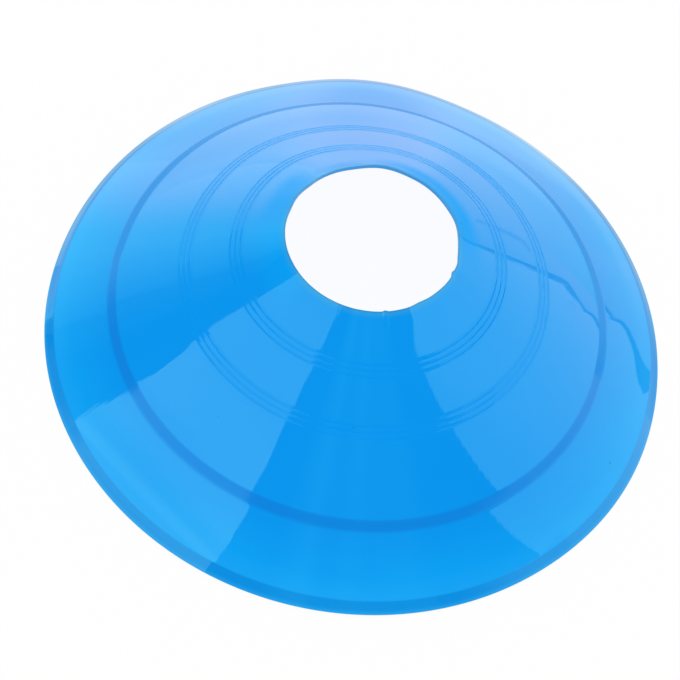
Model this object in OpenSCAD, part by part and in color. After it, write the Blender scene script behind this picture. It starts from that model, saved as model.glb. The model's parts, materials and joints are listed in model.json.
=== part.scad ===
// Disc-type sports marker cone: one thin moulded saucer, open at the top and underneath.
// Millimetres, +Z up, standing on the ground at z = 0 with its axis on Z.

/* [Overall] */
// Diameter over the rim
outer_d = 190; // [186:1:220]
// Height from the ground to the top edge of the hole
overall_h = 47.4; // [42:0.2:54]
// Thickness of the moulded wall
wall = 1.2; // [0.8:0.1:1.4]

/* [Top hole] */
// Diameter of the hole that a carrying post goes through
hole_d = 49.2; // [30:0.2:52]

/* [Cone] */
// How far the side bulges out from a straight line between hole and step
crown_rise = 0.87; // [0.2:0.01:2]

/* [Step] */
// Diameter at the upper edge of the step
step_d = 146; // [140:1:152]
// Width of the step, seen from above
step_run = 2.9; // [2.2:0.1:3.2]
// Drop of the step from its upper edge to its foot
step_drop = 2.7; // [2.4:0.1:3.6]
// Height of the step's foot above the ground
step_foot_h = 13.1; // [12:0.1:15]
// Rounding of the step's upper edge
step_round = 1.5; // [1.5:0.1:3]
// Fillet at the foot of the step
step_fillet = 2.5; // [0.5:0.1:6]

/* [Rim lip] */
// Width of the turned-down lip, seen from above
lip_run = 2.9; // [2:0.1:4]
// Slope of the lip below the horizontal, in degrees
lip_slope = 42; // [38:1:60]
// Bend between the brim and the lip
lip_bend = 2; // [1.9:0.1:4]
// Rounding of the rim's outer edge
rim_round = 0.3; // [0.1:0.05:0.4]

/* [Grip lines] */
// Diameter of the middle line of the upper group
upper_lines_d = 77.4; // [70:0.2:80]
// Diameter of the middle line of the lower group
lower_lines_d = 106.2; // [100:0.2:116]
// Number of lines in each group
lines_per_group = 3; // [1:1:4]
// Spacing of the lines along the side
line_pitch = 1.7; // [1.2:0.1:2.4]
// Width of a line
line_w = 1; // [0.4:0.1:1.1]
// Depth of a line
line_depth = 0.12; // [0.05:0.01:0.3]

/* [Hidden] */
$fn = 180;
crown_steps = 24;
least_bend_steps = 3;
widest_bend_turn = 12;
outer_r = outer_d / 2;
hole_r = hole_d / 2;
step_r = step_d / 2;
hole_edge = [hole_r, overall_h];
step_edge = [step_r, step_foot_h + step_drop];
step_foot = [step_r + step_run, step_foot_h];
// Where the lip's two faces meet the ground, the outer one before it is rounded off
rim_corner = [outer_r - rim_round + rim_round / tan(lip_slope / 2), 0];
ring_inner = [rim_corner.x - wall / sin(lip_slope), 0];
lip_edge = [outer_r - lip_run, (rim_corner.x - outer_r + lip_run) * tan(lip_slope)];

function unit(v) = v / norm(v);
function left_of(v) = [-v.y, v.x];
function turned(v, a) = [v.x * cos(a) - v.y * sin(a), v.x * sin(a) + v.y * cos(a)];
function turn_between(u, v) = atan2(u.x * v.y - u.y * v.x, u * v);
function backwards(path) = [for (i = [len(path) - 1 : -1 : 0]) path[i]];

// The side is an arc through the hole's edge and the step's edge, with the crown's rise between them.
side_run = step_edge - hole_edge;
side_half = norm(side_run) / 2;
side_radius = (side_half * side_half + crown_rise * crown_rise) / (2 * crown_rise);
side_centre = (hole_edge + step_edge) / 2 + left_of(unit(side_run)) * (crown_rise - side_radius);
side_sweep = 2 * asin(side_half / side_radius);

// Point at a distance from the arc's centre, at an angle past the hole's outer edge
function side_point(radius, angle) = side_centre + turned(unit(hole_edge - side_centre) * radius, -angle);

// Angle at which an arc about that centre reaches a distance from the marker's axis
function side_angle(radius, r) =
    acos((hole_r - side_centre.x) / side_radius) - acos((r - side_centre.x) / radius);

// One face of the side, from the hole to just above the step
function side_face(radius) =
    let (start = side_angle(radius, hole_r))
    [for (i = [0 : crown_steps - 1]) side_point(radius, start + (side_sweep - start) * i / crown_steps)];

// A corner of the outer face as an arc, and the same corner of a face set in from it
function bend(before, corner, after, radius, inset = 0) =
    let (u = unit(corner - before), v = unit(after - corner))
    let (turn = turn_between(u, v), side = sign(turn))
    let (steps = max(least_bend_steps, ceil(abs(turn) / widest_bend_turn)))
    let (start = corner - u * radius * tan(abs(turn) / 2))
    let (spoke = -left_of(u) * side)
    [
        for (i = [0 : steps])
            start - spoke * radius + turned(spoke, turn * i / steps) * (radius + side * inset)
    ];

// One face of the wall from the hole to the lip
function wall_face(inset) =
    let (above_step = side_point(side_radius, side_sweep * (crown_steps - 1) / crown_steps))
    concat(
        side_face(side_radius - inset),
        bend(above_step, step_edge, step_foot, step_round, inset),
        bend(step_edge, step_foot, lip_edge, step_fillet, inset),
        bend(step_foot, lip_edge, rim_corner, lip_bend, inset)
    );

outline = concat(
    wall_face(0),
    bend(lip_edge, rim_corner, ring_inner, rim_round),
    [ring_inner],
    backwards(wall_face(wall))
);

// Radius of the round cutter that leaves a line's width and depth
line_cutter_r = (line_w * line_w / 4 + line_depth * line_depth) / (2 * line_depth);

// One group of lines, its middle one at the given distance from the axis
module line_cuts(middle_r) {
    for (i = [0 : lines_per_group - 1]) {
        along = (i - (lines_per_group - 1) / 2) * line_pitch;
        angle = side_angle(side_radius, middle_r) + along / side_radius * 180 / PI;
        translate(side_point(side_radius + line_cutter_r - line_depth, angle)) circle(r = line_cutter_r);
    }
}

module marker_shell() {
    color("dodgerblue")
    rotate_extrude()
    difference() {
        polygon(outline);
        line_cuts(upper_lines_d / 2);
        line_cuts(lower_lines_d / 2);
    }
}

marker_shell();
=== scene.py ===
import json
import math

import bpy
from mathutils import Matrix, Vector


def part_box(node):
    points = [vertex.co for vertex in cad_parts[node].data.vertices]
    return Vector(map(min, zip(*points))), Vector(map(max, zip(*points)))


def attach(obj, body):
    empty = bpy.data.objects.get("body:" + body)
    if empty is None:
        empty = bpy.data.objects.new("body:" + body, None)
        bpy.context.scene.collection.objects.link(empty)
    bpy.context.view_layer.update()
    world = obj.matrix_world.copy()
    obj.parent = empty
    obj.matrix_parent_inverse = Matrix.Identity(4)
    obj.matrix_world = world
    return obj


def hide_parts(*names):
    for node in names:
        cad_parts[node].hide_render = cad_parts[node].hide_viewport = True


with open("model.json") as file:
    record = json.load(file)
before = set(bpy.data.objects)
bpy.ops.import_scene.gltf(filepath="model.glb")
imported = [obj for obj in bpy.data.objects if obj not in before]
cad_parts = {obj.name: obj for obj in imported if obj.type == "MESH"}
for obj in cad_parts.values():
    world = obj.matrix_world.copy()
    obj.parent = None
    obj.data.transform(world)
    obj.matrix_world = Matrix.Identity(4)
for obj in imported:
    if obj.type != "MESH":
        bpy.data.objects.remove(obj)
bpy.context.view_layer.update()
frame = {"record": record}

MM = 0.001

# Sizes of the marker, in millimetres as they are moulded
high_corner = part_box("marker_shell")[1]
mounts = {mount["name"]: mount for mount in frame["record"]["mounts"]}
RIM_R = high_corner.x / MM
TOP_H = high_corner.z / MM
HOLE_R = mounts["top_hole"]["dims"]["r_mm"]
WALL = 1.2
CROWN_RISE = 0.87
STEP_R = 73.0
STEP_RUN = 2.9
STEP_DROP = 2.7
STEP_FOOT_H = 13.1
STEP_ROUND = 1.5
STEP_FILLET = 2.5
LIP_RUN = 2.9
LIP_SLOPE = 42.0
LIP_BEND = 2.0
RIM_ROUND = 0.3
FOOT_ROUND = 0.12
HOLE_EASE = 0.1
LINE_GROUPS_R = (38.7, 53.1)
LINES_PER_GROUP = 3
LINE_PITCH = 1.7
LINE_W = 1.1
LINE_DEPTH = 0.08

# Straight pieces in each stretch of the outline
OUTER_SIDE_STEPS = 40
INNER_SIDE_STEPS = 36
LINE_STEPS = 8
STEP_ROUND_STEPS = 5
STEP_FILLET_STEPS = 6
LIP_BEND_STEPS = 6
RIM_ROUND_STEPS = 10
EASE_STEPS = 3
# Share of the side's arc from which the side is taken to run straight to the step
STEP_APPROACH = 0.95


class Wire:
    """One socket of a node tree, on which sums are written as plain arithmetic."""

    def __init__(self, bench, socket):
        self.bench = bench
        self.socket = socket

    def out(self, name):
        """Another output of the node that this wire comes from."""
        return Wire(self.bench, self.socket.node.outputs[name])

    def maths(self, operation, *others):
        return self.bench.node("ShaderNodeMath", {"operation": operation}, dict(enumerate((self, *others))))

    def __add__(self, other):
        return self.maths("ADD", other)

    def __mul__(self, other):
        return self.maths("MULTIPLY", other)

    def __sub__(self, other):
        return self.maths("SUBTRACT", other)

    def __rsub__(self, other):
        return self.bench.node("ShaderNodeMath", {"operation": "SUBTRACT"}, {0: other, 1: self})

    def __truediv__(self, other):
        return self.maths("DIVIDE", other)

    def __pow__(self, other):
        return self.maths("POWER", other)

    __radd__ = __add__
    __rmul__ = __mul__


class Bench:
    """A node tree and the one way to put a node in it."""

    def __init__(self, tree):
        self.tree = tree
        self.tree.nodes.clear()

    def node(self, kind, settings=None, sockets=None):
        """A node with its settings and its inputs' values or wires. Gives its first live output."""
        made = self.tree.nodes.new(kind)
        for name, value in (settings or {}).items():
            setattr(made, name, value)
        for key, value in (sockets or {}).items():
            socket = made.inputs[key]
            if isinstance(value, Wire):
                self.tree.links.new(value.socket, socket)
            else:
                socket.default_value = value
        live = [output for output in made.outputs if output.enabled]
        return Wire(self, live[0]) if live else made

    def rise(self, value, low, high):
        """Eases from 0 at low to 1 at high."""
        return self.node("ShaderNodeMapRange", {"interpolation_type": "SMOOTHSTEP"}, {
            "Value": value, "From Min": low, "From Max": high, "To Min": 0.0, "To Max": 1.0})

    def fall(self, value, low, high):
        """Eases from 1 at low to 0 at high."""
        return 1 - self.rise(value, low, high)

    def near(self, value, target, full, gone):
        """1 within a distance of a target, easing to 0 at a wider one."""
        return self.fall((value - target).maths("ABSOLUTE"), full, gone)

    def mix_colours(self, factor, first, second):
        """Blends two colours. The sockets go by number, because the node has several of each name."""
        return self.node("ShaderNodeMix", {"data_type": "RGBA"}, {0: factor, 6: first, 7: second})


# The outline of the wall, as distance from the axis and height

def left_of(direction):
    return Vector((-direction.y, direction.x))


def turned(direction, angle):
    return Vector((direction.x * math.cos(angle) - direction.y * math.sin(angle),
                   direction.x * math.sin(angle) + direction.y * math.cos(angle)))


def bend(before, corner, after, radius, steps, inset=0.0):
    """A corner of the outer face as an arc, or the same corner of a face set in from it."""
    arriving = (corner - before).normalized()
    leaving = (after - corner).normalized()
    turn = math.atan2(arriving.x * leaving.y - arriving.y * leaving.x, arriving.dot(leaving))
    side = math.copysign(1.0, turn)
    start = corner - arriving * radius * math.tan(abs(turn) / 2)
    spoke = -left_of(arriving) * side
    return [start - spoke * radius + turned(spoke, turn * i / steps) * (radius + side * inset)
            for i in range(steps + 1)]


hole_edge = Vector((HOLE_R, TOP_H))
step_edge = Vector((STEP_R, STEP_FOOT_H + STEP_DROP))
step_foot = Vector((STEP_R + STEP_RUN, STEP_FOOT_H))
lip_slope = math.radians(LIP_SLOPE)
rim_corner = Vector((RIM_R - RIM_ROUND + RIM_ROUND / math.tan(lip_slope / 2), 0.0))
ring_inner = Vector((rim_corner.x - WALL / math.sin(lip_slope), 0.0))
lip_edge = Vector((RIM_R - LIP_RUN, (rim_corner.x - RIM_R + LIP_RUN) * math.tan(lip_slope)))

side_run = step_edge - hole_edge
side_half = side_run.length / 2
side_radius = (side_half ** 2 + CROWN_RISE ** 2) / (2 * CROWN_RISE)
side_centre = (hole_edge + step_edge) / 2 + left_of(side_run.normalized()) * (CROWN_RISE - side_radius)
side_sweep = 2 * math.asin(side_half / side_radius)
# Places of a group's lines along the side, from the middle of the group
line_offsets = [(line - (LINES_PER_GROUP - 1) / 2) * LINE_PITCH for line in range(LINES_PER_GROUP)]


def side_point(radius, angle):
    return side_centre + turned((hole_edge - side_centre).normalized() * radius, -angle)


def side_angle(radius, from_axis):
    """Angle past the hole's outer edge at which an arc of the side reaches a distance from the axis."""
    return (math.acos((HOLE_R - side_centre.x) / side_radius)
            - math.acos((from_axis - side_centre.x) / radius))


def line_middles():
    """Places of all the grip lines along the outer side, from the hole's edge."""
    return [side_angle(side_radius, group_r) * side_radius + offset
            for group_r in LINE_GROUPS_R for offset in line_offsets]


def line_dip(angle):
    """Depth of the grip lines at an angle along the side."""
    depth = 0.0
    for middle in line_middles():
        away = abs(angle * side_radius - middle) / (LINE_W / 2)
        if away < 1:
            depth += LINE_DEPTH * math.cos(away * math.pi / 2) ** 2
    return depth


def outer_side_angles():
    """Angles along the outer side: even ones, and close ones across each grip line."""
    angles = [side_sweep * i / OUTER_SIDE_STEPS for i in range(OUTER_SIDE_STEPS)]
    for middle in line_middles():
        low = (middle - LINE_W / 2) / side_radius
        high = (middle + LINE_W / 2) / side_radius
        gap = (high - low) / LINE_STEPS
        angles = [a for a in angles if not low - gap < a < high + gap]
        angles += [low + gap * i for i in range(LINE_STEPS + 1)]
    return sorted(angles)


def wall_face(inset, side_points):
    """One face of the wall from the hole to the lip."""
    above_step = side_point(side_radius, side_sweep * STEP_APPROACH)
    return (side_points
            + bend(above_step, step_edge, step_foot, STEP_ROUND, STEP_ROUND_STEPS, inset)
            + bend(step_edge, step_foot, lip_edge, STEP_FILLET, STEP_FILLET_STEPS, inset)
            + bend(step_foot, lip_edge, rim_corner, LIP_BEND, LIP_BEND_STEPS, inset))


def wall_outline():
    """The closed outline, down the outer face and back up the inner one, and the span of its inner face."""
    outer = [side_point(side_radius - line_dip(a), a) for a in outer_side_angles()]
    inner_radius = side_radius - WALL
    start = side_angle(inner_radius, HOLE_R)
    inner = [side_point(inner_radius, start + (side_sweep - start) * i / INNER_SIDE_STEPS)
             for i in range(INNER_SIDE_STEPS)]
    outer_face = wall_face(0.0, outer)
    inner_face = wall_face(WALL, inner)
    nose = bend(lip_edge, rim_corner, ring_inner, RIM_ROUND, RIM_ROUND_STEPS)
    foot = bend(nose[-1], ring_inner, inner_face[-1], FOOT_ROUND, EASE_STEPS)
    hole_top = bend(inner_face[0], outer_face[0], outer_face[1], HOLE_EASE, EASE_STEPS)
    hole_bottom = bend(inner_face[1], inner_face[0], outer_face[0], HOLE_EASE, EASE_STEPS)
    outside = hole_top + outer_face[1:] + nose + foot
    inside = inner_face[:0:-1]
    return outside + inside + hole_bottom, (len(outside), len(outside) + len(inside))


def outline_mesh(name, points):
    """The outline as a string of vertices in the XZ plane."""
    mesh = bpy.data.meshes.new(name)
    mesh.from_pydata([(p.x * MM, 0.0, p.y * MM) for p in points], [], [])
    return mesh


TURN_STEPS = 480
# Names under which each point keeps its distance from the axis in mm, as moulded, and 1 on the inner face
MOULDED = "moulded_r"
INSIDE = "inside"
# Points closer than this, in mm, are made one, and edges that bend by more than this are kept sharp
MERGE = 0.004
SHARP = math.radians(50)
# Where the trimmed edge of the hole bites in (plus) or stands in the hole (minus):
# direction in degrees, depth in mm, half width in degrees
TRIM_MARKS = (
    (82.0, 1.2, 78.0),
    (92.0, 0.75, 22.0),
    (28.0, 0.5, 32.0),
    (56.0, 0.25, 22.0),
    (156.0, 0.4, 14.0),
    (190.0, 0.15, 30.0),
    (287.0, -0.35, 2.5),
    (311.0, -0.28, 9.0),
    (344.5, -0.45, 3.0),
    (344.0, 0.45, 26.0),
    (353.0, 0.20, 6.0),
    (26.0, 0.20, 14.0),
)
# The trimmed edge's roughness in mm, and the place in the noise that it is taken from
TRIM_NOISE = 0.05
TRIM_SEED = 3.7
# Height lost for each mm that the trimmed edge is cut back, and how far from the edge a cut is felt, in mm
TRIM_FALL = 0.3
TRIM_REACH = 5.0
# The soft saucer has set slightly oval, and its front and back stand off the ground, both in mm
OVAL = 0.73
LIFT = 0.5
# Keeps the bent rim inside the moulded size
DRAWN_IN = 0.9965
# At the back the brim has bent up a little more and the cone has sunk, and the left brim stands up a little:
# direction and half width in degrees, height in mm, and distances from the axis where it sets in and is full
HEIGHT_SHIFTS = (
    (95.0, 23.0, 1.1, 70.0, 95.0),
    (102.0, 36.0, -0.7, 72.0, 50.0),
    (198.0, 24.0, 0.5, 68.0, 88.0),
)
# Direction and half width in degrees, distance outwards in mm, and where it sets in and is full
SIDE_SHIFTS = (
    (172.0, 40.0, -0.45, 26.0, 40.0),
    (158.0, 50.0, -0.45, 76.0, 92.0),
    (335.0, 26.0, 0.30, 76.0, 92.0),
    (95.0, 23.0, 0.35, 60.0, 92.0),
)
TREE_INPUTS = (
    ("Outline", "NodeSocketGeometry"),
    ("Steps round", "NodeSocketInt"),
    ("Hole radius", "NodeSocketFloat"),
    ("Trim roughness", "NodeSocketFloat"),
    ("Trim seed", "NodeSocketFloat"),
    ("Plastic", "NodeSocketMaterial"),
)


def mark_round(bench, angle, direction, half_width):
    """1 in a direction, easing to 0 at the half width to either side. All but the angle is in degrees."""
    away = (angle - math.radians(direction) + math.pi).maths("FLOORED_MODULO", 2 * math.pi) - math.pi
    return bench.fall(away.maths("ABSOLUTE"), 0.0, math.radians(half_width))


def trim_shift(bench, given, angle, cosine, sine):
    """How far the trimmed edge of the hole lies outside its true circle, in metres."""
    ring = bench.node("ShaderNodeCombineXYZ", None, {"X": cosine, "Y": sine, "Z": given.out("Trim seed")})
    noise = bench.node("ShaderNodeTexNoise", None,
                       {"Vector": ring, "Scale": 9.0, "Detail": 4.0, "Roughness": 0.7})
    shift = (noise - 0.5) * given.out("Trim roughness")
    for direction, depth, half_width in TRIM_MARKS:
        shift = shift + mark_round(bench, angle, direction, half_width) * (depth * MM)
    return shift


def settled_place(bench, given, angle, moulded_r, moulded_h):
    """Where the trimming of the hole and the set of the soft saucer leave a point of the turned wall."""
    cosine = angle.maths("COSINE")
    sine = angle.maths("SINE")
    double = angle * 2
    # Only the edge of the hole moves with the trim marks
    at_hole = bench.fall(moulded_r - given.out("Hole radius"), 0.0, TRIM_REACH * MM)
    cut_back = trim_shift(bench, given, angle, cosine, sine) * at_hole
    ring = moulded_r / MM
    radius = moulded_r + cut_back
    for direction, half_width, outwards, start, full in SIDE_SHIFTS:
        share = mark_round(bench, angle, direction, half_width) * bench.rise(ring, start, full)
        radius = radius + share * (outwards * MM)
    oval = radius * (DRAWN_IN - double.maths("SINE") * (OVAL / RIM_R))
    reach = radius / (RIM_R * MM)
    lift = reach * reach * (1 - double.maths("COSINE")) * (LIFT * MM)
    height = moulded_h - cut_back.maths("MAXIMUM", 0.0) * TRIM_FALL + lift
    for direction, half_width, upwards, start, full in HEIGHT_SHIFTS:
        share = bench.rise(ring, start, full) if start < full else bench.fall(ring, full, start)
        height = height + mark_round(bench, angle, direction, half_width) * share * (upwards * MM)
    return bench.node("ShaderNodeCombineXYZ", None, {"X": oval * cosine, "Y": oval * sine, "Z": height})


def revolve_wall(count, inner_span):
    """Turns an outline of so many points round the axis in Geometry Nodes."""
    tree = bpy.data.node_groups.new("turn the wall", "GeometryNodeTree")
    for name, kind in TREE_INPUTS:
        tree.interface.new_socket(name=name, in_out="INPUT", socket_type=kind)
    tree.interface.new_socket(name="Shell", in_out="OUTPUT", socket_type="NodeSocketGeometry")
    bench = Bench(tree)
    given = bench.node("NodeGroupInput")
    steps = given.out("Steps round")
    grid = bench.node("GeometryNodeMeshGrid", None, {"Vertices X": count + 1, "Vertices Y": steps + 1})
    index = bench.node("GeometryNodeInputIndex")
    along = (index / (steps + 1)).maths("FLOOR")
    angle = (index - along * (steps + 1)) / steps * (2 * math.pi)
    sample = bench.node("GeometryNodeSampleIndex", {"data_type": "FLOAT_VECTOR", "domain": "POINT"}, {
        "Geometry": given.out("Outline"), "Value": bench.node("GeometryNodeInputPosition"),
        "Index": along.maths("MODULO", count)})
    moulded = bench.node("ShaderNodeSeparateXYZ", None, {0: sample})
    place = settled_place(bench, given, angle, moulded.out("X"), moulded.out("Z"))
    # Half a point past its number, so that the comparisons don't hang on rounding
    number = along + 0.5
    inside = number.maths("GREATER_THAN", inner_span[0]) * number.maths("LESS_THAN", inner_span[1])
    marked = grid
    for name, value in ((MOULDED, moulded.out("X") / MM), (INSIDE, inside)):
        marked = bench.node("GeometryNodeStoreNamedAttribute", {"data_type": "FLOAT", "domain": "POINT"},
                            {"Geometry": marked, "Name": name, "Value": value})
    shaped = bench.node("GeometryNodeSetPosition", None, {"Geometry": marked, "Position": place})
    closed = bench.node("GeometryNodeMergeByDistance", None, {"Geometry": shaped, "Distance": MERGE * MM})
    sharp = bench.node("GeometryNodeInputMeshEdgeAngle").maths("GREATER_THAN", SHARP)
    smooth = bench.node("GeometryNodeSetShadeSmooth", {"domain": "EDGE"},
                        {"Geometry": closed, "Shade Smooth": 1 - sharp})
    real = bench.node("GeometryNodeRealizeInstances", None, {"Geometry": smooth})
    dressed = bench.node("GeometryNodeSetMaterial", None,
                         {"Geometry": real, "Material": given.out("Plastic")})
    bench.node("NodeGroupOutput", None, {"Shell": dressed})
    return tree


def plain_mesh(source, name):
    """The finished mesh of an object with its modifiers worked in."""
    bpy.context.view_layer.update()
    graph = bpy.context.evaluated_depsgraph_get()
    mesh = bpy.data.meshes.new_from_object(source.evaluated_get(graph))
    mesh.name = name
    return mesh


def make_shell(plastic):
    """The whole marker as one turned piece."""
    outline, inner_span = wall_outline()
    source = bpy.data.objects.new("wall outline", outline_mesh("wall outline", outline))
    bpy.context.scene.collection.objects.link(source)
    tree = revolve_wall(len(outline), inner_span)
    modifier = source.modifiers.new("turn", "NODES")
    modifier.node_group = tree
    # The noise runs half a unit to either side, so its roughness goes in doubled
    chosen = {"Steps round": TURN_STEPS, "Hole radius": HOLE_R * MM, "Trim roughness": TRIM_NOISE * 2 * MM,
              "Trim seed": TRIM_SEED, "Plastic": plastic}
    for item in tree.interface.items_tree:
        if item.in_out == "INPUT" and item.name in chosen:
            modifier[item.identifier] = chosen[item.name]
    mesh = plain_mesh(source, "shell")
    bpy.data.objects.remove(source)
    shell = bpy.data.objects.new("shell", mesh)
    bpy.context.scene.collection.objects.link(shell)
    return shell


# Blues of the main parts as linear red, green and blue, and how much of the side's blue the later ones cover.
# The blues of the step, the lip and the hole's cut corner are painted shade, darker where these faces get
# less light, with their own copies for the back.
SIDE_BLUE = (0.0035, 0.305, 0.86, 1)
# Painted shade on the steep step, and its lighter copy for the back
STEP_SHADE_BLUE = (0.002, 0.22, 0.73, 1)
STEP_BACK_SHADE_BLUE = (0.004, 0.285, 0.76, 1)
STEP_COVER = 0.9
# Painted shade on the steep lip, and its greyer copy for the back
LIP_SHADE_BLUE = (0.004, 0.268, 0.75, 1)
LIP_BACK_SHADE_BLUE = (0.08, 0.32, 0.64, 1)
LIP_COVER = 0.9
# Painted shade at the cut corner of the hole, and its lighter copy for the back
CORNER_SHADE_BLUE = (0.012, 0.2, 0.5, 1)
CORNER_BACK_SHADE_BLUE = (0.03, 0.29, 0.58, 1)
CORNER_COVER = 0.6
# Tints, as how much each covers and its blue. The tints of the brim, the outer brim, the back of the brim,
# the rim and the rim's edges beside the back are painted light, from light through the wall and from behind.
# The tints of the low patches and of the patches beside the hole count from the share of gloss lost.
# Painted light: the brim brightened by light through the wall
BRIM_LIGHT = (1.0, (0.0045, 0.355, 0.90, 1))
CLOUD_TINT = (0.25, (0.003, 0.28, 0.83, 1))
# Painted light: the outer brim brightened further by light through the wall
OUTER_BRIM_LIGHT = (0.8, (0.010, 0.368, 0.915, 1))
# Painted light: the back of the brim brightened by light from behind
BACKLIT_BRIM_LIGHT = (0.9, (0.07, 0.41, 0.92, 1))
# Painted light: the rim brightened by light through the wall, and its edges beside the back by light from
# behind
RIM_LIGHT = (0.6, (0.02, 0.38, 0.86, 1))
RIM_EDGE_LIGHT = (0.9, (0.15, 0.45, 0.80, 1))
LOW_TINT = (1.6, (0.005, 0.41, 0.93, 1))
DULLED_TINT = (0.72, (0.003, 0.40, 0.95, 1))
PALE_LEFT_TINT = (0.38, (0.003, 0.40, 0.95, 1))
MILKY_CUT_TINT = (0.7, (0.035, 0.34, 0.72, 1))
SPECK_TINT = (0.5, (0.01, 0.12, 0.35, 1))
# Light that the plastic lets through, at the cut edge of the hole and on the inner face
NO_LIGHT = (0, 0, 0, 1)
CUT_LIGHT = (0.03, 0.08, 0.05, 1)
INNER_LIGHT = (0.002, 0.15, 0.46, 1)

# Sectors of the shell: direction, and the angles to either side at which each is full and gone, in degrees
BACK = (90.0, 48.0, 110.0)
FAR_BACK = (92.0, 36.0, 62.0)
# Where painted light from behind brightens the back of the brim
BACKLIT_SECTOR = (80.0, 36.0, 78.0)
DULL_LIP = (98.0, 20.0, 42.0)
# Where painted light from behind brightens the rim's edges, to either side of the back
LIT_RIM_EDGES = ((38.0, 12.0, 36.0), (155.0, 14.0, 34.0))
PALE_LEFT = (205.0, 12.0, 34.0)
# Rings of the shell: distances from the axis in mm across which each part of it starts
BRIM_START = (74.0, 90.0)
OUTER_BRIM_START = (86.0, 91.5)
# Where the painted light at the back of the brim starts
BACKLIT_START = (85.0, 90.5)
STEP_START = (STEP_R - 0.2, STEP_R + 0.6)
LIP_START = (lip_edge.x - 0.3, lip_edge.x + 0.2)
# Where the painted light on the rim and on its edges beside the back starts
RIM_START = (RIM_R - 1.2, RIM_R - 0.1)
LIT_RIM_EDGE_START = (RIM_R - 2.7, RIM_R - 1.1)
# The same for where each part ends
STEP_END = (step_foot.x - 0.8, step_foot.x + 0.4)
SIDE_END = (STEP_R, STEP_R + 1.0)
PALE_LEFT_END = (27.0, 37.0)
MILKY_CUT_END = (25.0, 26.6)
CORNER_END = (HOLE_R + 0.1, HOLE_R + 0.6)
CUT_END = (HOLE_R + 0.02, HOLE_R + 0.12)
# How much nearer to the axis the painted shade of the step and the lip starts at the back, in mm
STEP_WIDER = 0.9
LIP_WIDER = 0.6

# Patches where the gloss is dulled and the blue made lighter, beside the hole and low on the side: direction,
# the angles to either side at which each is full and gone, two distances from the axis in mm, and the share
# of gloss lost.
# A patch beside the hole ends between its distances, and a low one starts between them.
HOLE_PATCHES = (
    (48.0, 20.0, 60.0, 29.0, 33.5, 0.7),
    (108.0, 12.0, 36.0, 27.0, 30.5, 0.4),
    (157.0, 8.0, 26.0, 30.0, 35.0, 0.5),
)
LOW_PATCHES = (
    (75.0, 30.0, 62.0, 50.0, 66.0, 0.2),
    (58.0, 14.0, 30.0, 46.0, 56.0, 0.12),
)
# Small specks of dirt and nicks: direction in degrees, distance from the axis in mm, size in mm
SPECKS = ((337.0, 88.0, 0.45), (275.0, 52.2, 0.35), (238.0, 62.0, 0.3), (158.0, 66.0, 0.35))
SPECK_CORE = 0.4
# Values of the noise across which a cloud in the blue starts
CLOUD_START = (0.3, 0.7)

# How strongly the plastic bends light, the colour of its gloss, and the level of gloss that its bending gives
REFRACTION = 1.51
GLOSS_TINT = (0.35, 1.0, 0.6, 1)
FULL_GLOSS = 0.5
# Shares of gloss lost, and the distances from a grip line in mm between which its loss ends
LINE_LOSS = 0.32
LINE_LOSS_END = (0.2, 1.0)
STEP_LOSS = 0.35
STEP_BACK_LOSS = 0.33
LIP_LOSS = 0.35
# Roughness of the plastic and what the step adds to it, and the height of the plastic's gentle waves in mm
ROUGHNESS = 0.035
STEP_ROUGHNESS = 0.13
WAVES = 0.045


def new_material(name):
    material = bpy.data.materials.new(name)
    material.use_nodes = True
    return material, Bench(material.node_tree)


class Spot:
    """A place on a surface, as wires in the surface's material. It is measured from the marker's axis."""

    def __init__(self, bench):
        self.bench = bench
        self.place = bench.node("ShaderNodeTexCoord").out("Object")
        self.axes = bench.node("ShaderNodeSeparateXYZ", None, {0: self.place})

    def along(self, axis):
        """How far it lies along X, Y or Z, in mm."""
        return self.axes.out(axis) / MM

    def away(self):
        """Its distance from the marker's axis, in mm."""
        return (self.axes.out("X") ** 2 + self.axes.out("Y") ** 2) ** 0.5 / MM

    def turn(self):
        """Its direction in degrees from +X, from -180 to 180."""
        return self.axes.out("Y").maths("ARCTAN2", self.axes.out("X")) / math.radians(1)

    def full_turn(self):
        """Its direction in degrees from +X, from 0 to 360."""
        return self.turn().maths("FLOORED_MODULO", 360.0)


class ShellSpot(Spot):
    """A place on the shell, with the masks that its colour and its gloss share."""

    def __init__(self, bench):
        super().__init__(bench)
        self.radius = bench.node("ShaderNodeAttribute", {"attribute_name": MOULDED}).out("Fac")
        self.direction = self.turn()
        self.back = self.sector(*BACK)
        self.far_back = self.sector(*FAR_BACK)
        self.step = self.starts(STEP_START, self.back * STEP_WIDER) * self.ends(STEP_END)
        self.lip = self.starts(LIP_START, self.far_back * LIP_WIDER)
        self.by_hole = self.patches(HOLE_PATCHES, bench.fall)
        self.low = self.patches(LOW_PATCHES, bench.rise) * self.ends(SIDE_END) * (1 - self.step)

    def sector(self, direction, full, gone):
        """1 within an angle of a direction, easing to 0 at a wider one. All in degrees."""
        return self.bench.near(self.direction, direction, full, gone)

    def starts(self, ring, nearer=0.0):
        """Eases from 0 to 1 across a ring, which may lie nearer to the axis by some mm."""
        return self.bench.rise(self.radius + nearer, *ring)

    def ends(self, ring):
        """Eases from 1 to 0 across a ring."""
        return self.bench.fall(self.radius, *ring)

    def patches(self, rows, ease):
        """The share of gloss lost in the patches of a table."""
        lost = 0.0
        for direction, full, gone, near, far, share in rows:
            lost = self.sector(direction, full, gone) * ease(self.radius, near, far) * share + lost
        return lost

    def tint(self, colour, mask, cover, blue):
        """A colour with another laid over it where the mask is 1."""
        return self.bench.mix_colours(mask * cover, colour, blue)


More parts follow.
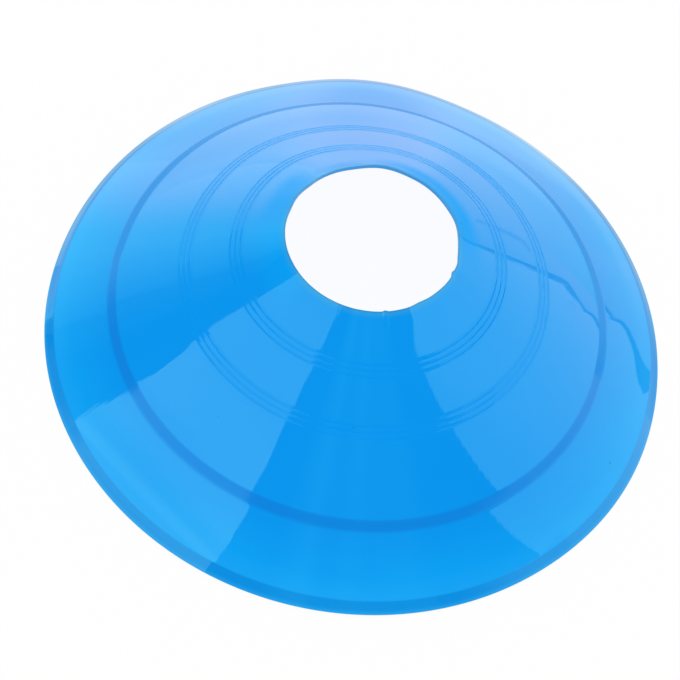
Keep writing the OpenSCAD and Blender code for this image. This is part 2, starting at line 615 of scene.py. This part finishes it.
def side_and_brim(spot):
    """Soft clouds in the blue of the side, and a brim that light through the wall brightens."""
    cloud = spot.bench.node("ShaderNodeTexNoise", None,
                            {"Vector": spot.place, "Scale": 22.0, "Detail": 2.0, "Roughness": 0.5})
    colour = spot.tint(SIDE_BLUE, spot.starts(BRIM_START), *BRIM_LIGHT)
    colour = spot.tint(colour, spot.bench.rise(cloud, *CLOUD_START), *CLOUD_TINT)
    return spot.tint(colour, spot.starts(OUTER_BRIM_START), *OUTER_BRIM_LIGHT)


def step_and_lip(spot, colour):
    """Painted shade darkens the steep step and lip, and painted light brightens the back of the brim, the
    rim, and the rim's edges to either side of the back.
    """
    step_shade = spot.bench.mix_colours(spot.back, STEP_SHADE_BLUE, STEP_BACK_SHADE_BLUE)
    lip_shade = spot.bench.mix_colours(spot.far_back, LIP_SHADE_BLUE, LIP_BACK_SHADE_BLUE)
    right_edge, left_edge = (spot.sector(*sector) for sector in LIT_RIM_EDGES)
    colour = spot.tint(colour, spot.step, STEP_COVER, step_shade)
    colour = spot.tint(colour, spot.sector(*BACKLIT_SECTOR) * spot.starts(BACKLIT_START), *BACKLIT_BRIM_LIGHT)
    colour = spot.tint(colour, spot.lip, LIP_COVER, lip_shade)
    colour = spot.tint(colour, spot.starts(RIM_START), *RIM_LIGHT)
    return spot.tint(colour, spot.starts(LIT_RIM_EDGE_START) * (right_edge + left_edge), *RIM_EDGE_LIGHT)


def round_the_hole(spot, colour):
    """The wall is paler to the left of the hole and milky next to the cut, and painted shade darkens the
    cut's corner.
    """
    pale_left = spot.bench.near(spot.full_turn(), *PALE_LEFT) * spot.ends(PALE_LEFT_END)
    corner_shade = spot.bench.mix_colours(spot.back, CORNER_SHADE_BLUE, CORNER_BACK_SHADE_BLUE)
    colour = spot.tint(colour, pale_left, *PALE_LEFT_TINT)
    colour = spot.tint(colour, spot.ends(MILKY_CUT_END), *MILKY_CUT_TINT)
    return spot.tint(colour, spot.ends(CORNER_END), CORNER_COVER, corner_shade)


def specked(spot, colour):
    """A colour with the small specks in it."""
    for direction, away, size in SPECKS:
        facing = math.radians(direction)
        aside = spot.along("X") - away * math.cos(facing)
        beyond = spot.along("Y") - away * math.sin(facing)
        apart = (aside ** 2 + beyond ** 2) ** 0.5
        colour = spot.tint(colour, spot.bench.fall(apart, size * SPECK_CORE, size), *SPECK_TINT)
    return colour


def light_through(spot):
    """Light shines out of the cut edge of the hole a little, and daylight shows on the inner face."""
    inside = spot.bench.node("ShaderNodeAttribute", {"attribute_name": INSIDE}).out("Fac")
    light = spot.bench.mix_colours(spot.ends(CUT_END), NO_LIGHT, CUT_LIGHT)
    return spot.bench.mix_colours(inside, light, INNER_LIGHT)


def lost_in_lines(spot):
    """How far the gloss is lost in the grip lines, which lie on the slope of the side."""
    slope_run = side_run.normalized().x
    lost = 0.0
    for group_r in LINE_GROUPS_R:
        for offset in line_offsets:
            on_line = spot.bench.near(spot.radius, group_r + offset * slope_run, *LINE_LOSS_END)
            lost = on_line * LINE_LOSS + lost
    return lost


def lost_gloss(spot):
    """How far the gloss is lost in the lines, on the step, in the patches and on the lip at the back."""
    on_step = spot.step * (spot.back * STEP_BACK_LOSS + STEP_LOSS)
    on_lip = spot.lip * spot.sector(*DULL_LIP) * LIP_LOSS
    return lost_in_lines(spot) + on_step + spot.by_hole + spot.low + on_lip


def blue_plastic():
    """Blue polyethylene, as a mix of the plastic with all its gloss and the plastic without any."""
    material, bench = new_material("blue_plastic")
    spot = ShellSpot(bench)
    colour = step_and_lip(spot, side_and_brim(spot))
    colour = spot.tint(colour, spot.low, *LOW_TINT)
    colour = spot.tint(colour, spot.by_hole, *DULLED_TINT)
    colour = specked(spot, round_the_hole(spot, colour))
    wavy = bench.node("ShaderNodeTexNoise", None,
                      {"Vector": spot.place, "Scale": 45.0, "Detail": 1.5, "Roughness": 0.4})
    relief = bench.node("ShaderNodeBump", None,
                        {"Strength": 1.0, "Distance": 1.0, "Height": wavy * (WAVES * MM)})
    looks = {"Base Color": colour, "Roughness": spot.step * STEP_ROUGHNESS + ROUGHNESS, "Normal": relief,
             "Emission Color": light_through(spot), "Emission Strength": 1.0,
             "IOR": REFRACTION, "Specular Tint": GLOSS_TINT}
    glossy = bench.node("ShaderNodeBsdfPrincipled", None, {**looks, "Specular IOR Level": FULL_GLOSS})
    dull = bench.node("ShaderNodeBsdfPrincipled", None, {**looks, "Specular IOR Level": 0.0})
    shader = bench.node("ShaderNodeMixShader", None, {0: lost_gloss(spot), 1: glossy, 2: dull})
    bench.node("ShaderNodeOutputMaterial", None, {"Surface": shader})
    return material


# Camera, as it stood for the photograph: sizes in pixels or mm, distances in metres, and angles
FRAME_PX = 680
FOCAL_PX = 1605.4
ORIGIN_PX = (354.74, 324.35)
SENSOR = 36.0
CAMERA_AWAY = 0.49396
CAMERA_NEAREST = 0.01
CAMERA_HEIGHT = math.radians(58.715)
CAMERA_ROLL = math.radians(10.641)


def make_camera():
    """The camera at the photograph's angle, aimed so that the marker's origin falls on its pixel."""
    right = Vector((1, 0, 0))
    up = Vector((0, math.sin(CAMERA_HEIGHT), math.cos(CAMERA_HEIGHT)))
    back = Vector((0, -math.cos(CAMERA_HEIGHT), math.sin(CAMERA_HEIGHT)))
    across = right * math.cos(CAMERA_ROLL) + up * math.sin(CAMERA_ROLL)
    upward = up * math.cos(CAMERA_ROLL) - right * math.sin(CAMERA_ROLL)
    aside = (ORIGIN_PX[0] - FRAME_PX / 2) / FOCAL_PX
    above = (FRAME_PX / 2 - ORIGIN_PX[1]) / FOCAL_PX
    sight = (across * aside + upward * above - back).normalized()
    camera_data = bpy.data.cameras.new("camera")
    camera_data.sensor_width = SENSOR
    camera_data.lens = SENSOR * FOCAL_PX / FRAME_PX
    camera_data.clip_start = CAMERA_NEAREST
    camera = bpy.data.objects.new("camera", camera_data)
    turn = Matrix((across, upward, back)).transposed().to_4x4()
    camera.matrix_world = Matrix.Translation(-sight * CAMERA_AWAY) @ turn
    bpy.context.scene.collection.objects.link(camera)
    bpy.context.scene.camera = camera


# The studio. A brightness is 1 at white.
WHITE = (1, 1, 1, 1)
AMBIENT = 1.05
FLOOR_REACH = 3000.0
FLOOR_PAPER = (0.9, 0.9, 0.9, 1)
# Share of plain white in the floor that the camera sees. The rest of it keeps the shadow.
FLOOR_WHITENESS = 0.95

# The left board: the feet of its far and near edges in mm, how they lean for each mm of height, the way in
# which the far edge stands further out, by how much at each height, and its top corners
LEFT_FAR_FOOT = Vector((-74.5, -59.8, 0.0))
LEFT_FAR_LEAN = Vector((-1.2258, 0.0407, 1.0))
LEFT_NEAR_FOOT = Vector((-29.2, -90.7, 0.0))
LEFT_NEAR_LEAN = Vector((-0.3333, -0.5677, 1.0))
LEFT_OUTWARDS = Vector((-0.83, 0.56, 0.0))
LEFT_WIDER = ((3, 7), (66, 7), (84, 2), (110, 0), (132, -4), (150, -6), (176, -3), (240, 0), (360, 0))
LEFT_TOP = ((-515.8, -45.1, 2600), (-149.2, -295.0, 2600))
# The right board: the foot of its front edge in mm, how it leans for each mm of height, and the way it runs
RIGHT_FOOT = Vector((101.0, -64.4, 0.0))
RIGHT_LEAN = Vector((0.619, -0.3967, 1.0))
RIGHT_TURN = math.radians(75)
RIGHT_RUN = Vector((math.cos(RIGHT_TURN), math.sin(RIGHT_TURN), 0.0))
RIGHT_LENGTH = 1500
RIGHT_HEIGHT = 2300
# Its bottom as far as the near edge, as place along it and height in mm
RIGHT_BOTTOM = ((0, 0), (62, 0), (80, 8))
# Dark gaps along its lower edge: place along it, height and thickness in mm, brightness, and how far in front
# of the board the gap lies in mm. The first two are the edge itself.
RIGHT_EDGES = (
    ("near edge", ((90, 14.2, 4), (100, 15.2, 7), (109, 17.3, 4.6), (118, 18.2, 3), (129, 18.9, 2.4),
                   (144, 20.1, 2.1), (155, 22.1, 2), (165, 27, 1.8)), 0.3, 0.4),
    ("lower edge", ((165, 27, 3), (180, 29, 4), (208, 31, 6), (230, 40, 8), (264, 57, 10), (298, 73, 11),
                    (410, 124, 12), (1500, 610, 20)), 0.38, 0.0),
    ("crease", ((165, 28, 2), (174, 32.5, 3), (184, 36, 2)), 0.5, 0.0),
    ("second edge", ((300, 44, 4), (330, 40, 6), (366, 44, 9), (400, 50, 9), (560, 74, 9)), 1.0, 0.0),
)
# Curved boards: distance from the axis in mm, directions in degrees, and heights of both edges in mm
LEFT_STRIP = (110, range(190, 251, 3), 0, 11)
RIGHT_STRIP = (135, range(298, 332, 3), 0, 38)
BACKDROP = (1400, range(0, 181, 3), 0, 1000)
CAMERA_SIDE = (900, range(252, 319, 3), 200, 3000)
# The glow on the camera's side: its brightness, the share of red that it lacks, and its soft streaks,
# as direction and half width in degrees, and added brightness
CAMERA_SIDE_LEVEL = 0.34
CAMERA_SIDE_BLUENESS = 0.7
STREAKS = ((267.0, 6.0, 0.30), (283.0, 7.0, 0.22))


def sheet(name, corners, faces, material):
    """A thin sheet of the studio, with its corners in millimetres."""
    mesh = bpy.data.meshes.new(name)
    mesh.from_pydata([Vector(c) * MM for c in corners], [], faces)
    mesh.materials.append(material)
    made = bpy.data.objects.new(name, mesh)
    bpy.context.scene.collection.objects.link(made)
    return made


def board(name, corners, faces, material):
    """A sheet that shows in the gloss of the plastic and neither lights nor shades anything."""
    made = sheet(name, corners, faces, material)
    made.visible_camera = False
    made.visible_diffuse = False
    made.visible_shadow = False
    made.visible_transmission = False


def strip(name, corners, material):
    """A board between two rows of corners, which are listed in pairs."""
    faces = [(2 * i, 2 * i + 1, 2 * i + 3, 2 * i + 2) for i in range(len(corners) // 2 - 1)]
    board(name, corners, faces, material)


def curved(name, radius, turns, low, high, material):
    """A board bent round the marker's axis."""
    corners = [(radius * math.cos(math.radians(t)), radius * math.sin(math.radians(t)), h)
               for t in turns for h in (low, high)]
    strip(name, corners, material)


def emission(bench, colour):
    return bench.node("ShaderNodeEmission", None, {"Color": colour, "Strength": 1.0})


def light_colour(spot, brightness, blueness=None):
    """White light whose brightness, and the share of red that it lacks, are worked out from the place."""
    level = brightness(spot)
    red = level * (1 - blueness(spot)) if blueness else level
    return spot.bench.node("ShaderNodeCombineColor", None, {0: red, 1: level, 2: level})


def glow(name, brightness, blueness=None):
    """A self-lit surface that differs from place to place."""
    material, bench = new_material(name)
    light = emission(bench, light_colour(Spot(bench), brightness, blueness))
    bench.node("ShaderNodeOutputMaterial", None, {"Surface": light})
    return material


def even_glow(name, level):
    """A self-lit surface of one brightness."""
    material, bench = new_material(name)
    bench.node("ShaderNodeOutputMaterial", None, {"Surface": emission(bench, (level, level, level, 1))})
    return material


# How bright and how blue each surface is, with turns in degrees, and with heights and distances in mm

def floor_brightness(spot):
    """How bright the floor looks in the gloss: lit more from behind, and dim close to the marker."""
    bench = spot.bench
    away = spot.away()
    turn = spot.turn()
    from_rim = RIM_R - away.maths("MAXIMUM", RIM_R)
    shade = (from_rim / 14.0).maths("EXPONENT") * 0.5
    haze = (from_rim / 40.0).maths("EXPONENT") * 0.45
    behind = bench.rise(turn, 42.0, 60.0) * bench.fall(turn, 128.0, 150.0)
    dim_middle = bench.near(turn, 93.0, 4.0, 16.0) * 0.2
    dim_beside = bench.near(turn, 62.0, 8.0, 20.0) * bench.rise(away, 135.0, 165.0) * 0.2
    lit_close = 0.26 - bench.rise(away, 130.0, 170.0) * 0.12
    lit_far = bench.rise(away, 130.0, 450.0) * bench.rise(turn, 76.0, 92.0) * 0.35
    level = 1.5 - shade - haze * (1 - behind * 0.8)
    return level + behind * (lit_close - dim_middle) - dim_beside + lit_far


def floor_blueness(spot):
    """Light through the blue wall tints the floor at the marker's sides."""
    bench = spot.bench
    from_back = (spot.turn() - 95.0).maths("ABSOLUTE")
    at_sides = bench.rise(from_back, 36.0, 60.0) * bench.rise(spot.away(), 130.0, 180.0) * 0.4
    return at_sides - bench.fall(from_back, 6.0, 24.0) * 0.2


def left_brightness(spot):
    """Brightest a hand's breadth above the ground, and weaker higher up."""
    bench = spot.bench
    height = spot.along("Z")
    bright = bench.rise(height, 40.0, 85.0) * 0.6
    streak = bench.rise(height, 20.0, 27.0) * bench.fall(height, 32.0, 44.0) * 0.6
    fading = bench.rise(height, 110.0, 260.0) * 0.3 + bench.rise(height, 300.0, 1000.0) * 1.1
    dark_foot = bench.fall(height, 8.0, 11.0) * bench.fall(spot.full_turn(), 211.0, 220.0)
    return 1.6 + (bright + streak) - fading - dark_foot


def left_strip_brightness(spot):
    """Fades in where the lip turns towards it, in two steps."""
    turn = spot.full_turn()
    return spot.bench.rise(turn, 190.0, 197.0) * 0.25 + spot.bench.rise(turn, 202.0, 218.0) * 1.1


def right_brightness(spot):
    """A little weaker towards the front edge, which leans forward as it rises."""
    from_edge = spot.along("Y") - RIGHT_FOOT.y - spot.along("Z") * RIGHT_LEAN.y
    return spot.bench.rise(from_edge, 0.0, 90.0) * 0.4 + 1.38


def right_strip_brightness(spot):
    """Fades in where the lip turns towards it."""
    return spot.bench.rise(spot.full_turn(), 300.0, 322.0) * 1.1


def backdrop_brightness(spot):
    """Bright behind the marker, running out to the left."""
    bench = spot.bench
    turn = spot.turn()
    low = bench.fall(spot.along("Z"), 150.0, 400.0)
    low = low * bench.rise(turn, 70.0, 86.0) * bench.fall(turn, 125.0, 145.0)
    behind = bench.near(turn, 90.0, 5.0, 24.0)
    full = 1.45 + bench.rise(turn, 76.0, 96.0) * 0.5 + low * (0.35 + behind)
    running_out = bench.node("ShaderNodeMapRange", None, {
        "Value": turn, "From Min": 147.0, "From Max": 162.0, "To Min": 1.0, "To Max": 0.33})
    past = bench.rise(turn, 161.5, 162.3) * 0.15 + bench.rise(turn, 162.0, 175.0) * 0.18
    return full * (running_out - past)


def backdrop_blueness(spot):
    """The end that runs out to the left is bluish."""
    return spot.bench.rise(spot.turn(), 132.0, 146.0) * 0.5


def camera_side_brightness(spot):
    """A faint glow with two soft streaks."""
    turn = spot.full_turn()
    level = CAMERA_SIDE_LEVEL
    for direction, half_width, more in STREAKS:
        level = spot.bench.near(turn, direction, 0.0, half_width) * more + level
    return spot.bench.rise(turn, 255.0, 262.0) * spot.bench.fall(turn, 302.0, 314.0) * level


def camera_side_blueness(spot):
    """The same all over."""
    return CAMERA_SIDE_BLUENESS


def make_floor():
    """A plain white floor that keeps the marker's soft shadow."""
    material, bench = new_material("white_floor")
    path = bench.node("ShaderNodeLightPath")
    paper = bench.node("ShaderNodeBsdfDiffuse", None, {"Color": FLOOR_PAPER})
    reflected = emission(bench, light_colour(Spot(bench), floor_brightness, floor_blueness))
    seen = bench.node("ShaderNodeMixShader", None, {
        0: path.out("Is Camera Ray") * FLOOR_WHITENESS, 1: paper, 2: emission(bench, WHITE)})
    both = bench.node("ShaderNodeMixShader", None, {0: path.out("Is Glossy Ray"), 1: seen, 2: reflected})
    bench.node("ShaderNodeOutputMaterial", None, {"Surface": both})
    corners = [(x * FLOOR_REACH, y * FLOOR_REACH, 0) for x, y in ((-1, -1), (1, -1), (1, 1), (-1, 1))]
    sheet("floor", corners, [(0, 1, 2, 3)], material)


def make_left_board():
    """The board at the left, which leans away from the marker, and the low strip at its foot."""
    corners = []
    for height, wider in LEFT_WIDER:
        corners.append(LEFT_FAR_FOOT + LEFT_FAR_LEAN * height + LEFT_OUTWARDS * wider)
        corners.append(LEFT_NEAR_FOOT + LEFT_NEAR_LEAN * height)
    strip("left board", corners + list(LEFT_TOP), glow("left_board", left_brightness))
    curved("left foot", *LEFT_STRIP, glow("left_foot", left_strip_brightness))


def right_spot(along, height, nearer=0.0):
    """A place on the plane of the right board, or nearer to the marker than it."""
    towards = RIGHT_LEAN.cross(RIGHT_RUN).normalized()
    return RIGHT_FOOT + RIGHT_LEAN * height + RIGHT_RUN * along + towards * nearer


def make_right_board():
    """The board at the right, with dark gaps along its ragged lower edge, and the low strip at its foot."""
    edge = RIGHT_EDGES[0][1] + RIGHT_EDGES[1][1][1:]
    corners = [right_spot(along, height) for along, height in RIGHT_BOTTOM]
    corners += [right_spot(along, height) for along, height, thickness in edge]
    corners += [right_spot(RIGHT_LENGTH, RIGHT_HEIGHT), right_spot(0, RIGHT_HEIGHT)]
    board("right board", corners, [tuple(range(len(corners)))], glow("right_board", right_brightness))
    for name, path, level, nearer in RIGHT_EDGES:
        corners = [right_spot(along, height + side * thickness / 2, nearer)
                   for along, height, thickness in path for side in (-1, 1)]
        strip(name, corners, even_glow(name, level))
    curved("right foot", *RIGHT_STRIP, glow("right_foot", right_strip_brightness))


def make_surroundings():
    """The backdrop behind the marker and the glow on the camera's side."""
    curved("backdrop", *BACKDROP, glow("backdrop", backdrop_brightness, backdrop_blueness))
    curved("camera side", *CAMERA_SIDE, glow("camera_side", camera_side_brightness, camera_side_blueness))


def make_world():
    """Even soft light on the marker, and white for the camera."""
    world = bpy.data.worlds.new("studio")
    bpy.context.scene.world = world
    world.use_nodes = True
    bench = Bench(world.node_tree)
    seen = bench.node("ShaderNodeLightPath").out("Is Camera Ray")
    ambient = bench.node("ShaderNodeBackground", None, {"Color": WHITE, "Strength": AMBIENT})
    white = bench.node("ShaderNodeBackground", None, {"Color": WHITE, "Strength": 1.0})
    both = bench.node("ShaderNodeMixShader", None, {0: seen, 1: ambient, 2: white})
    bench.node("ShaderNodeOutputWorld", None, {"Surface": both})
    world.cycles_visibility.glossy = False


bpy.context.scene.view_settings.view_transform = "Standard"
make_camera()
make_world()
make_floor()
make_left_board()
make_right_board()
make_surroundings()
shell = make_shell(blue_plastic())
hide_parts("marker_shell")
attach(shell, "root")
